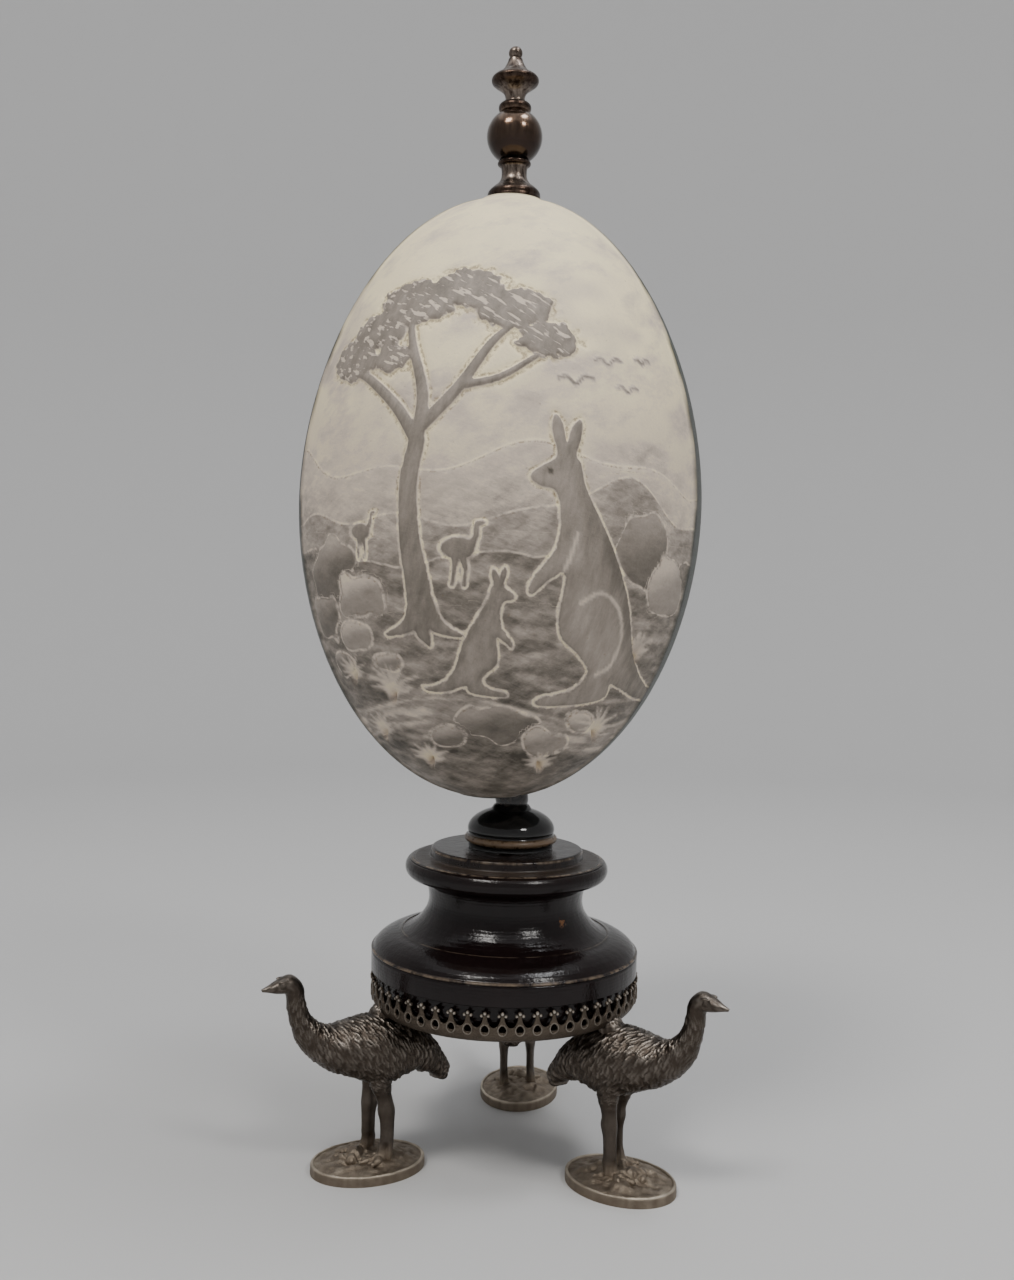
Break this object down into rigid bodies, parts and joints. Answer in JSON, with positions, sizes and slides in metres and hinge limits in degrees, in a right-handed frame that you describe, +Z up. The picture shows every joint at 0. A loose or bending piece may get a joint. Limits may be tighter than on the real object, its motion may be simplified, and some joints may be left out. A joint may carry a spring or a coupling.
{
  "type": "carved emu egg on stand",
  "caption": "Carved emu egg held upright between a turned finial and knop, on a turned socle in a pierced gallery carried by cast emus.",
  "frame": {"origin": "bottom centre of the whole object's bounding box, on the table under the emus' bases", "axes": "+Z up along the stand, the carved front of the egg faces -Y, the rear emu faces +Y"},
  "size_m": [0.0951, 0.0985, 0.2412],
  "materials": {
    "eggshell": "matte",
    "finial_metal": "gloss",
    "black_polish": "gloss",
    "ebonised_wood": "gloss",
    "aged_silver": "satin",
    "oxidised_silver": "satin",
    "rod_steel": "satin"
  },
  "bodies": {
    "root": {"egg": "eggshell", "finial": "finial_metal", "knop": "black_polish", "socle": "ebonised_wood", "gallery": "aged_silver", "emu_rear": "oxidised_silver", "emu_right": "oxidised_silver", "emu_left": "oxidised_silver", "tie_rod": "rod_steel", "rod_nut": "rod_steel"}
  },
  "joints": []
}
